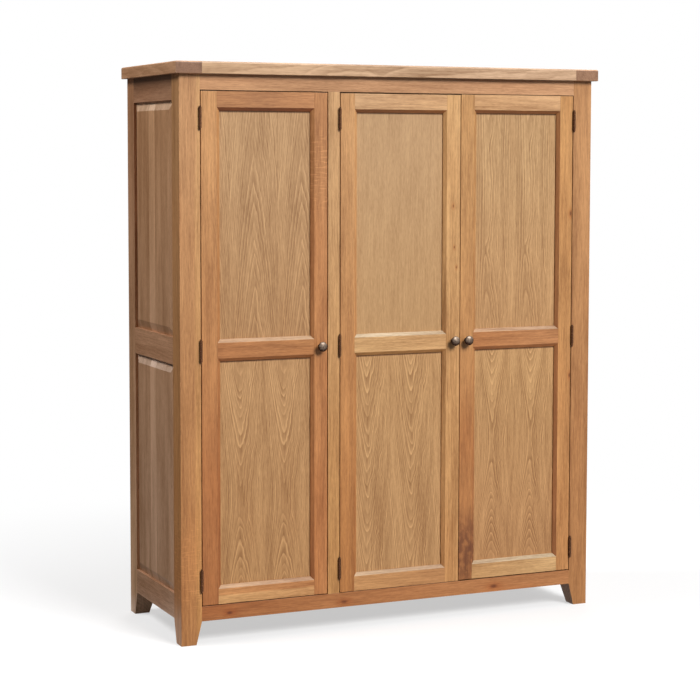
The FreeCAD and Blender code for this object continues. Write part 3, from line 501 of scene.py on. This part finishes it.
# the top board and its end caps are painted a little darker where they look up, as painted shade
dress("top_board", "X", "Z", ((182, 145, 109), (190, 154, 121)), staves=0.095,
      stave_shift=0.25, wander=22 * MM, wave=4.0, contrast=0.5, patch=0.1, dull_top=True)
dress("top_end_caps", "Y", "Z", ((194, 146, 108), (194, 146, 108)), patch=0.2,
      end_tint=(0.41, 0.38, 0.39), bands=((0.0, 0.05, (1.25, 1.30, 1.30)),), dull_top=True)
dress("base_panel", "X", "Z", ((190, 146, 104), (190, 146, 104)), staves=0.09, stave_shift=0.4)
dress("partition_panel", "Z", "X", ((190, 148, 106), (190, 148, 106)), staves=0.08,
      stave_shift=0.4)
dress("shelves", "X", "Z", ((192, 150, 108), (192, 150, 108)), staves=0.085, stave_shift=0.4)
dress("shelf_bearers", "X", "Y", ((188, 144, 100), (188, 144, 100)))
dress("hanging_poles", "X", "Y", ((190, 146, 100), (190, 146, 100)))
dress("pole_cradles", "Y", "X", ((180, 132, 90), (180, 132, 90)))
dress("door_stops", "X", "Y", ((184, 136, 94), (184, 136, 94)))

# The doors: stiles from foot to head, rails from left to right, panels from foot to head.
# A panel shows so many leaves of veneer, and leaf_at is where the middle of one lies, as a
# share of the panel's width.
# The change between the ends is partly the wood's own tone and partly painted light, lighter
# towards the heads
DOOR_OAK = {
    "left": {
        "left_stile": (((168, 105, 58), (191, 138, 87)), {"patch": 0.3}),
        "right_stile": (((183, 120, 70), (182, 126, 78)),
                        {"ripple": 0.4, "ripple_span": (0.46, 0.70)}),
        "top_rail": (((178, 123, 77), (182, 126, 80)), {"stains": ((-0.07, 0.05, 0.25),)}),
        # a stronger painted sheen on this middle rail's chamfer that looks up
        "middle_rail": (((175, 115, 68), (183, 125, 76)), {"upper": STRONG_SLOPE_SHEEN}),
        "bottom_rail": (((206, 155, 101), (206, 152, 99)),
                        {"bands": ((-0.003, 0.002, (0.86, 0.72, 0.64)),)}),
        "upper_panel": (((178, 135, 91), (183, 143, 100)),
                        {"leaf_at": 0.38, "leaves": 1.86, "turn": 0.50, "rise": 0.21,
                         "pith_depth": 4 * MM, "contrast": 0.62}),
        "lower_panel": (((178, 132, 85), (184, 140, 94)),
                        {"leaf_at": 0.22, "leaves": 2.04, "turn": -0.07, "rise": 0.30,
                         "ring": 11 * MM, "bend": 0.12, "pith_depth": 15 * MM,
                         "jitter": 13 * MM}),
    },
    "middle": {
        "left_stile": (((180, 119, 65), (191, 141, 91)), {"patch": 0.2}),
        "right_stile": (((199, 146, 92), (198, 152, 100)),
                        {"patch": 0.25, "knots": ((1.428, 0.222, 3.2 * MM),
                                                  (1.287, 0.227, 2.6 * MM),
                                                  (1.218, 0.235, 2.6 * MM))}),
        "top_rail": (((198, 155, 112), (194, 149, 104)), {"patch": 0.1}),
        "middle_rail": (((206, 161, 109), (203, 156, 105)), {"patch": 0.1}),
        "bottom_rail": (((191, 138, 87), (178, 125, 78)), {}),
        "upper_panel": (((186, 145, 99), (186, 148, 106)),
                        {"leaf_at": 0.3, "leaves": 1.0, "quarter": True}),
        "lower_panel": (((183, 138, 91), (187, 143, 95)),
                        {"leaf_at": 0.13, "leaves": 1.94, "turn": -0.40, "rise": 0.26,
                         "ring": 11 * MM, "jitter": 12 * MM}),
    },
    "right": {
        "left_stile": (((173, 113, 64), (191, 142, 89)),
                       {"stains": ((-0.84, -0.62, 1.0),), "patch": 0.45}),
        # a darker painted shade on this stile's chamfer that looks sideways
        "right_stile": (((190, 133, 80), (189, 138, 84)),
                        {"knots": ((1.397, 0.684, 5 * MM), (0.826, 0.686, 4.5 * MM)),
                         "flank": DARK_FLANK_SHADE}),
        "top_rail": (((193, 147, 101), (195, 150, 106)), {"patch": 0.1}),
        # a stronger painted sheen on this middle rail's chamfer that looks up
        "middle_rail": (((175, 114, 66), (182, 125, 79)),
                        {"patch": 0.3, "upper": STRONG_SLOPE_SHEEN}),
        "bottom_rail": (((194, 146, 95), (202, 159, 108)), {"patch": 0.1}),
        "upper_panel": (((182, 138, 92), (184, 145, 100)),
                        {"leaf_at": 0.15, "leaves": 2.0, "turn": 0.1, "rise": 0.05,
                         "ring": 12 * MM, "wander": 60 * MM, "wave": 3.2}),
        "lower_panel": (((178, 130, 84), (189, 145, 96)),
                        {"leaf_at": 0.22, "leaves": 2.04, "turn": 0.06, "rise": 0.40,
                         "ring": 9.5 * MM, "bend": 0.17, "pith_depth": 12 * MM,
                         "jitter": 11 * MM}),
    },
}

PANEL_HIDDEN = 9 * MM     # how far a panel runs into its grooves
VENEER = {"ring": 14 * MM, "pith_across": 0.0, "pith_depth": 11 * MM, "crowd": 9.0, "bend": 0.06,
          "wander": 34 * MM, "jitter": 9 * MM, "wave": 3.5, "contrast": 0.80,
          "streak": 1.1, "mottle": 0.8, "patch": 0.12}
QUARTER = {"ring": 2.6 * MM, "pith_across": 0.3, "pith_depth": 0.0, "rise": 0.0,
           "wander": 8 * MM, "contrast": 0.18, "years": 0.5, "streak": 0.7, "mottle": 0.3,
           "fleck": 0.5, "patch": 0.0}

for door, finishes in DOOR_OAK.items():
    hinge_side = "right" if door == "right" else "left"
    for place, (ends, style) in finishes.items():
        style = dict(style)
        if place.endswith("stile"):
            part = "hinge_stile" if place.startswith(hinge_side) else "lock_stile"
            # the stiles and rails carry the painted shade and sheen of their chamfers
            dress(f"door_{door}_{part}", "Z", "Y", ends, slopes=UNDER_SLOPE_SHADE["top_rail"], **style)
        elif place.endswith("rail"):
            slopes = UNDER_SLOPE_SHADE.get(place, UNDER_SLOPE_SHADE["middle_rail"])
            dress(f"door_{door}_{place}", "X", "Y", ends, slopes=slopes, **style)
        else:
            low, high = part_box(f"door_{door}_{place}")
            seen = high.x - low.x - 2 * PANEL_HIDDEN
            leaf = seen / style.pop("leaves")
            start = (style.pop("leaf_at") - 0.5) * seen
            figure = QUARTER if style.pop("quarter", False) else VENEER
            # the panels carry a painted shadow line at the head of their groove
            dress(f"door_{door}_{place}", "Z", "Y", ends,
                  **{**figure, "leaf": leaf, "leaf_start": start, "groove": PANEL_HIDDEN, **style})


# ---------------------------------------------------------------- metal finishes


def bronze():
    """Dark antique bronze, browner in the hollows and rubbed brighter where it is handled."""
    sh = Shader("hinge_bronze")
    cloud = sh.grit(260, 3.0)
    speck = sh.grit(1700, 2.0)
    rubbed = sh.step(cloud + speck * 0.5, 0.02, 0.22)
    colour = sh.mix(rubbed, linear((76, 47, 30)), linear((132, 90, 58)))
    sh.bump(cloud + speck * 0.6, 0.25, 0.2 * MM)
    return sh.finish(colour, 0.5 - rubbed * 0.14, Metallic=0.85)


def pewter():
    """Antique pewter, hammered by hand. The top and face of the cap are painted pale, a painted
    highlight that is partly also wear, and the underside is painted dark brown as shade, with a
    mottled patina over all."""
    sh = Shader("knob_pewter")
    x, y, z = sh.position()
    cell = sh.node("TexVoronoi", feature="SMOOTH_F1")
    sh.feed(cell.inputs["Vector"], sh.vector(x * 210, y * 210, z * 210))
    cell.inputs["Scale"].default_value = 1.0
    dent = Value(sh, cell.outputs[0])
    cloud = sh.grit(180, 3.0)
    fine = sh.grit(1500, 2.0)
    _, back, up = sh.normal()
    # painted highlight and shade: faces that look up and forward are painted pale, partly also
    # wear, and those that look down dark brown
    highlight_and_wear = up * 0.62 - back * 0.85 - 0.30 + cloud * 0.9 + fine * 0.2
    rubbed = sh.step(highlight_and_wear, 0.14, 0.66)
    colour = sh.mix(rubbed, linear((50, 30, 19)), linear((104, 89, 77)))
    colour = sh.mix(sh.step(highlight_and_wear, 0.60, 0.80), colour, linear((150, 134, 119)))
    sh.bump(dent * 0.6 + fine * 0.2, 0.35, 0.5 * MM)
    return sh.finish(colour, 0.62 - rubbed * 0.08, Metallic=0.92)


def zinc():
    """Plain zinc plate on keepers, bolts and screws inside."""
    sh = Shader("zinc_plate")
    cloud = sh.grit(420, 3.0)
    colour = sh.mix(cloud + 0.5, linear((120, 118, 114)), linear((168, 166, 160)))
    sh.bump(cloud, 0.15, 0.1 * MM)
    return sh.finish(colour, 0.36 + cloud * 0.1, Metallic=1.0)


def ferrite():
    """The grey, slightly rough magnets."""
    sh = Shader("ferrite")
    grit = sh.grit(2400, 2.0)
    colour = sh.mix(grit + 0.5, linear((52, 52, 54)), linear((86, 86, 88)))
    sh.bump(grit, 0.3, 0.1 * MM)
    return sh.finish(colour, 0.6)


BRONZE, PEWTER, ZINC, FERRITE = bronze(), pewter(), zinc(), ferrite()

for node in ("hinge_frame_leaves", "door_left_hinge_leaves", "door_middle_hinge_leaves",
             "door_right_hinge_leaves"):
    coat(node, BRONZE, 0.2 * MM)
coat("catch_magnets", FERRITE, 0.4 * MM)


# ---------------------------------------------------------------- turned and pressed pieces

ON_AXIS = 1e-7              # a smaller radius than this is a point on the lathe's axis
FOOT_SUNK = 0.4 * MM        # how deep a turned piece's closing foot lies in what it stands on


def in_mm(points):
    """Pairs of radius and height given in millimetres, in metres."""
    return [(radius * MM, height * MM) for radius, height in points]


def lathe(mesh, outline, place, steps, material=0, sunk=FOOT_SUNK):
    """Turns (radius, height) points about the place's Z axis and adds the skin to the mesh,
    closed by a flat foot that is sunk into what the piece stands on."""
    radius, height = outline[-1]
    if sunk:
        outline = [*outline, (radius, height - sunk)]
    outline = [*outline, (0.0, height - sunk)]
    turns = [2 * math.pi * step / steps for step in range(steps)]
    rings = []
    for radius, height in outline:
        if radius < ON_AXIS:
            spots = [(0, 0, height)]
        else:
            spots = [(radius * math.cos(turn), radius * math.sin(turn), height) for turn in turns]
        rings.append([mesh.verts.new(place @ Vector(spot)) for spot in spots])
    for lower, upper in zip(rings, rings[1:]):
        for step in range(max(len(lower), len(upper))):
            after = (step + 1) % steps
            corners = [lower[step], lower[after]] if len(lower) > 1 else [lower[0]]
            corners += [upper[after], upper[step]] if len(upper) > 1 else [upper[0]]
            face = mesh.faces.new(corners)
            face.material_index = material
            face.smooth = True


def block(mesh, low, high, bevel, material):
    """A rectangular block with eased edges."""
    low, high = Vector(low), Vector(high)
    middle, spans = (low + high) / 2, high - low
    made = bmesh.ops.create_cube(mesh, size=1.0)["verts"]
    for vertex in made:
        vertex.co = middle + Vector(value * span for value, span in zip(vertex.co, spans))
    edges = dict.fromkeys(edge for vertex in made for edge in vertex.link_edges)
    eased = bmesh.ops.bevel(mesh, geom=list(edges), offset=bevel, segments=2, profile=0.5,
                            affect="EDGES")
    for face in {face for vertex in eased["verts"] for face in vertex.link_faces}:
        face.material_index = material


def smooth_outline(points, steps=5):
    """A Catmull-Rom curve through the points, so that a turned profile has no corners."""
    curve = []
    padded = [points[0], *points, points[-1]]
    for first, second, third, fourth in zip(padded, padded[1:], padded[2:], padded[3:]):
        for step in range(steps):
            t = step / steps
            curve.append(tuple(
                0.5 * (2 * b + (c - a) * t + (2 * a - 5 * b + 4 * c - d) * t ** 2
                       + (3 * b - a - 3 * c + d) * t ** 3)
                for a, b, c, d in zip(first, second, third, fourth)))
    return [*[(max(radius, 0.0), height) for radius, height in curve], points[-1]]


def object_of(mesh, name, *materials):
    """Turns a finished mesh into an object of the scene."""
    data = bpy.data.meshes.new(name)
    mesh.to_mesh(data)
    mesh.free()
    made = bpy.data.objects.new(name, data)
    bpy.context.scene.collection.objects.link(made)
    for material in materials:
        data.materials.append(material)
    return made


def piece_from(mesh, name, body, materials, nodes=()):
    """Makes the object, puts it on its body and hides the CAD nodes that it stands for."""
    bmesh.ops.recalc_face_normals(mesh, faces=mesh.faces)
    made = object_of(mesh, name, *materials)
    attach(made, body)
    if nodes:
        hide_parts(*nodes)


# The CAD model's sizes that the small fittings need
DOOR_THICKNESS = 25 * MM
KNOB_HEIGHT = 966 * MM
KNOB_INSET = 24.5 * MM
MAGNET_INSET = 92 * MM
KEEPER_WIDTH, KEEPER_HEIGHT, KEEPER_DEPTH = 34 * MM, 14 * MM, 1.2 * MM
HINGE_LEVELS = [level * MM for level in (212, 966, 1720)]
LEAF_HEIGHT = 68 * MM
PIN_STANDOFF = 4.8 * MM     # from the doors' front to the hinge axis
POST_FACE = 0.75 * MM       # from the hinge axis across to the post's face
DOOR_FACE = 3.75 * MM       # and to the door's edge

# Turned profiles: radius and height in millimetres, from the tip to the foot
KNOB_PROFILE = [(0.0, 28.0), (4.5, 27.75), (9.0, 26.9), (12.8, 25.3), (15.4, 23.3), (16.5, 20.9),
                (15.9, 18.9), (13.6, 17.4), (10.2, 15.2), (7.6, 12.6), (6.4, 9.6), (6.5, 6.6),
                (7.7, 4.2), (9.0, 2.6), (9.0, 1.0), (8.8, 0.0)]
BOLT_HEAD = [(0.0, 2.3), (2.4, 2.4), (3.7, 2.0), (4.3, 1.2), (4.5, 0.0)]
SCREW_HEAD = [(0.0, -0.5), (0.8, -0.45), (1.25, 0.05), (1.6, 0.22), (2.4, 0.18), (3.0, 0.05),
              (3.2, -0.2)]
FINIAL = [(0.0, 5.0), (1.6, 4.8), (2.7, 4.2), (3.15, 3.1), (3.0, 2.0), (2.7, 1.1), (2.65, 0.6),
          (3.7, 0.25), (3.9, 0.0)]

KEEPER_PROUD = 0.2 * MM
KEEPER_ARRIS = 0.15 * MM
KEEPER_SCREWS = (-11 * MM, 11 * MM)
HINGE_SCREWS = [(-23 * MM, 15 * MM), (0.0, 9 * MM), (23 * MM, 15 * MM)]   # height and depth
ZINC_SLOT = 1               # the second material of a knob set
KNOB_STEPS, BOLT_STEPS, SCREW_STEPS, FINIAL_STEPS = 56, 24, 16, 20      # facets round each


def screw(mesh, place, material=0):
    """A countersunk screw's head with its round socket, almost flush at the place."""
    lathe(mesh, in_mm(SCREW_HEAD), place, SCREW_STEPS, material)


def make_knob(door, lock_on_right):
    """The turned knob, its bolt behind the door, and the keeper plate with its two screws."""
    low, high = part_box(f"door_{door}_lock_stile")
    inward = -1 if lock_on_right else 1
    edge = high.x if lock_on_right else low.x
    forward = Matrix.Rotation(math.radians(90), 4, "X")
    backward = Matrix.Rotation(math.radians(-90), 4, "X")
    mesh = bmesh.new()

    at = Vector((edge + inward * KNOB_INSET, low.y, KNOB_HEIGHT))
    outline = in_mm(smooth_outline(KNOB_PROFILE))
    lathe(mesh, outline, Matrix.Translation(at) @ forward, KNOB_STEPS)
    at.y += DOOR_THICKNESS
    lathe(mesh, in_mm(BOLT_HEAD), Matrix.Translation(at) @ backward, BOLT_STEPS, ZINC_SLOT)

    keeper_low, keeper_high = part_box(f"door_{door}_knob_and_keeper")
    middle = edge + inward * MAGNET_INSET
    face, top = low.y + DOOR_THICKNESS + KEEPER_PROUD, keeper_high.z
    block(mesh, (middle - KEEPER_WIDTH / 2, face - KEEPER_DEPTH, top - KEEPER_HEIGHT),
          (middle + KEEPER_WIDTH / 2, face, top), KEEPER_ARRIS, ZINC_SLOT)
    for offset in KEEPER_SCREWS:
        at = Vector((middle + offset, face, top - KEEPER_HEIGHT / 2))
        screw(mesh, Matrix.Translation(at) @ backward, ZINC_SLOT)
    piece_from(mesh, f"door_{door}_knob_set", f"door_{door}",
               [PEWTER, ZINC], [f"door_{door}_knob_and_keeper"])


def make_finials():
    """A small turned ball on each end of every hinge pin. The upper ones cap the pin's tip."""
    mesh = bmesh.new()
    outline = in_mm(smooth_outline(FINIAL, 3))
    upright, inverted = Matrix.Identity(4), Matrix.Rotation(math.pi, 4, "X")
    for joint in frame["joints"]:
        x, y, _ = joint["pos_m"]
        for level in HINGE_LEVELS:
            for reach, turn in ((LEAF_HEIGHT / 2, upright), (-LEAF_HEIGHT / 2, inverted)):
                end = Vector((x, y, level + reach))
                lathe(mesh, outline, Matrix.Translation(end) @ turn, FINIAL_STEPS, sunk=0.0)
    piece_from(mesh, "hinge_finials", "carcass", [BRONZE])


def make_hinge_screws():
    """Three screws in each hinge leaf: those in the posts, then those in each door's edge."""
    frame_mesh = bmesh.new()
    for joint in frame["joints"]:
        x, y, _ = joint["pos_m"]
        hand = -joint["axis"][2]
        door_mesh = bmesh.new()
        for mesh, face, outward in ((frame_mesh, POST_FACE, hand), (door_mesh, DOOR_FACE, -hand)):
            turn = Matrix.Rotation(math.radians(90 * outward), 4, "Y")
            for level in HINGE_LEVELS:
                for height, depth in HINGE_SCREWS:
                    at = Vector((x + hand * face, y + PIN_STANDOFF + depth, level + height))
                    screw(mesh, Matrix.Translation(at) @ turn)
        door = joint["name"].replace("_hinge", "")
        piece_from(door_mesh, f"{door}_hinge_screws", door, [BRONZE])
    piece_from(frame_mesh, "frame_hinge_screws", "carcass", [BRONZE])


for door in ("left", "middle", "right"):
    make_knob(door, door != "right")
make_finials()
make_hinge_screws()


# ---------------------------------------------------------------- floor, light and camera

AMBIENT = 0.06
WHITE = (1.0, 1.0, 1.0, 1.0)
FLOOR_PAINT = ((0.88, 0.88, 0.88), (0.92, 0.92, 0.92))
FLOOR_BOUNCE = (0.10, 0.10, 0.10)      # what the floor gives back to the wardrobe
FLOOR_SIZE = 30.0
FLOOR_GLOW = 0.55                      # how much of the floor shines by itself near the wardrobe
GLOW_FROM, GLOW_TO = 1.0, 2.6          # and from where to where that grows to all of it
DARK_CLOTH = ((0.02, 0.02, 0.02), (0.05, 0.05, 0.05))

# Each lamp's direction, distance, size and level
AIM = Vector((0.0, 0.0, 1.0))
LAMPS = {
    "key": ((0.25, -0.77, 0.59), 16.0, 6.5, 1.20),
    "top": ((0.39, -0.25, 0.88), 8.0, 3.0, 0.22),
    "left": ((-0.60, 0.15, 0.78), 9.0, 3.0, 0.72),
    "back": ((0.45, 0.80, 0.40), 14.0, 7.0, 0.30),
}

# The camera that the photo's straight edges ask for, in metres, degrees and millimetres
CAMERA_PLACE = (-2.7762, -6.1113, 1.6050)
CAMERA_YAW, CAMERA_PITCH, CAMERA_ROLL = 24.0758, 4.3559, 0.0923
SENSOR_WIDTH, LENS = 36.0, 98.739
LENS_SHIFT = -0.0714


def background_rays(tree):
    """1 for the rays that see the background itself: camera, glossy and transmission rays."""
    path = tree.nodes.new("ShaderNodeLightPath")
    total = path.outputs["Is Camera Ray"]
    for name in ("Is Glossy Ray", "Is Transmission Ray"):
        most = tree.nodes.new("ShaderNodeMath")
        most.operation = "MAXIMUM"
        tree.links.new(total, most.inputs[0])
        tree.links.new(path.outputs[name], most.inputs[1])
        total = most.outputs[0]
    return total


def make_world():
    """White to the rays that see it, and a weak light to all others."""
    world = bpy.data.worlds.new("studio")
    bpy.context.scene.world = world
    world.use_nodes = True
    tree = world.node_tree
    ambient = tree.nodes["Background"]
    ambient.inputs["Color"].default_value = WHITE
    ambient.inputs["Strength"].default_value = AMBIENT
    white = tree.nodes.new("ShaderNodeBackground")
    white.inputs["Color"].default_value = WHITE
    white.inputs["Strength"].default_value = 1.0
    choose = tree.nodes.new("ShaderNodeMixShader")
    tree.links.new(background_rays(tree), choose.inputs[0])
    tree.links.new(ambient.outputs[0], choose.inputs[1])
    tree.links.new(white.outputs[0], choose.inputs[2])
    tree.links.new(choose.outputs[0], tree.nodes["World Output"].inputs["Surface"])


def make_floor():
    """A pale floor that keeps a soft shadow and runs out to white away from the wardrobe."""
    sh = Shader("floor_paint")
    seen = Value(sh, background_rays(sh.tree))
    paint = sh.mix(sh.grit(40, 2.0) + 0.5, *FLOOR_PAINT)
    sh.finish(sh.mix(seen, FLOOR_BOUNCE, paint), 0.9, Specular_IOR_Level=0.0)
    glow = sh.node("Emission", WHITE, 1.0)
    x, y, _ = sh.position()
    distance = sh.root(x * x + y * y)
    share = sh.step(distance, GLOW_FROM, GLOW_TO) * (1 - FLOOR_GLOW) + FLOOR_GLOW
    choose = sh.node("MixShader", share * seen)
    sh.tree.links.new(sh.surface.outputs[0], choose.inputs[1])
    sh.tree.links.new(glow.outputs[0], choose.inputs[2])
    sh.tree.links.new(choose.outputs[0], sh.tree.nodes["Material Output"].inputs["Surface"])

    mesh = bmesh.new()
    bmesh.ops.create_grid(mesh, x_segments=1, y_segments=1, size=FLOOR_SIZE)
    floor = object_of(mesh, "floor", sh.material)


def make_flag():
    """A dark cloth on the left, over the floor and up behind, that keeps the white backdrop's
    glare off the oak's side."""
    sh = Shader("flag_cloth")
    cloth = sh.finish(sh.mix(sh.grit(900, 1.0) + 0.5, *DARK_CLOTH), 0.9, Specular_IOR_Level=0.0)

    start = Vector((-0.9, 0.0, 0.01))
    near, far, height = 0.1, 2.4, 5.0
    mesh = bmesh.new()
    columns = []
    for angle in range(-12, 61, 9):
        turn = math.radians(angle)
        outward = Vector((-math.sin(turn), math.cos(turn), 0.0))
        foot = start + outward * far
        spots = (start + outward * near, foot, foot + Vector((0, 0, height)))
        columns.append([mesh.verts.new(spot) for spot in spots])
    for column, after in zip(columns, columns[1:]):
        for level in (0, 1):
            mesh.faces.new((column[level], after[level], after[level + 1], column[level + 1]))
    flag = object_of(mesh, "flag", cloth)
    for rays in ("camera", "diffuse", "transmission", "shadow"):
        setattr(flag, "visible_" + rays, False)


def make_lamp(name, direction, distance, size, level):
    """A softbox that gives a white surface facing it this level at the wardrobe's middle."""
    data = bpy.data.lights.new(name, "AREA")
    data.shape = "SQUARE"
    data.size = size
    data.energy = level * (math.pi * distance) ** 2
    lamp = bpy.data.objects.new(name, data)
    towards = Vector(direction).normalized()
    lamp.location = AIM + towards * distance
    lamp.rotation_mode = "QUATERNION"
    lamp.rotation_quaternion = (-towards).to_track_quat("-Z", "Y")
    bpy.context.scene.collection.objects.link(lamp)


def make_camera():
    """The camera stands to the left of the front, at eye level."""
    data = bpy.data.cameras.new("camera")
    data.sensor_width = SENSOR_WIDTH
    data.lens = LENS
    data.shift_y = LENS_SHIFT
    data.clip_start = 0.1
    data.clip_end = 100.0
    camera = bpy.data.objects.new("camera", data)
    camera.location = CAMERA_PLACE
    turn = (Matrix.Rotation(math.radians(-CAMERA_YAW), 4, "Z")
            @ Matrix.Rotation(math.radians(90 - CAMERA_PITCH), 4, "X")
            @ Matrix.Rotation(math.radians(CAMERA_ROLL), 4, "Z"))
    camera.rotation_mode = "QUATERNION"
    camera.rotation_quaternion = turn.to_quaternion()
    bpy.context.scene.collection.objects.link(camera)
    bpy.context.scene.camera = camera


make_world()
make_floor()
make_flag()
for name, settings in LAMPS.items():
    make_lamp(name, *settings)
make_camera()
bpy.context.scene.view_settings.view_transform = "Standard"
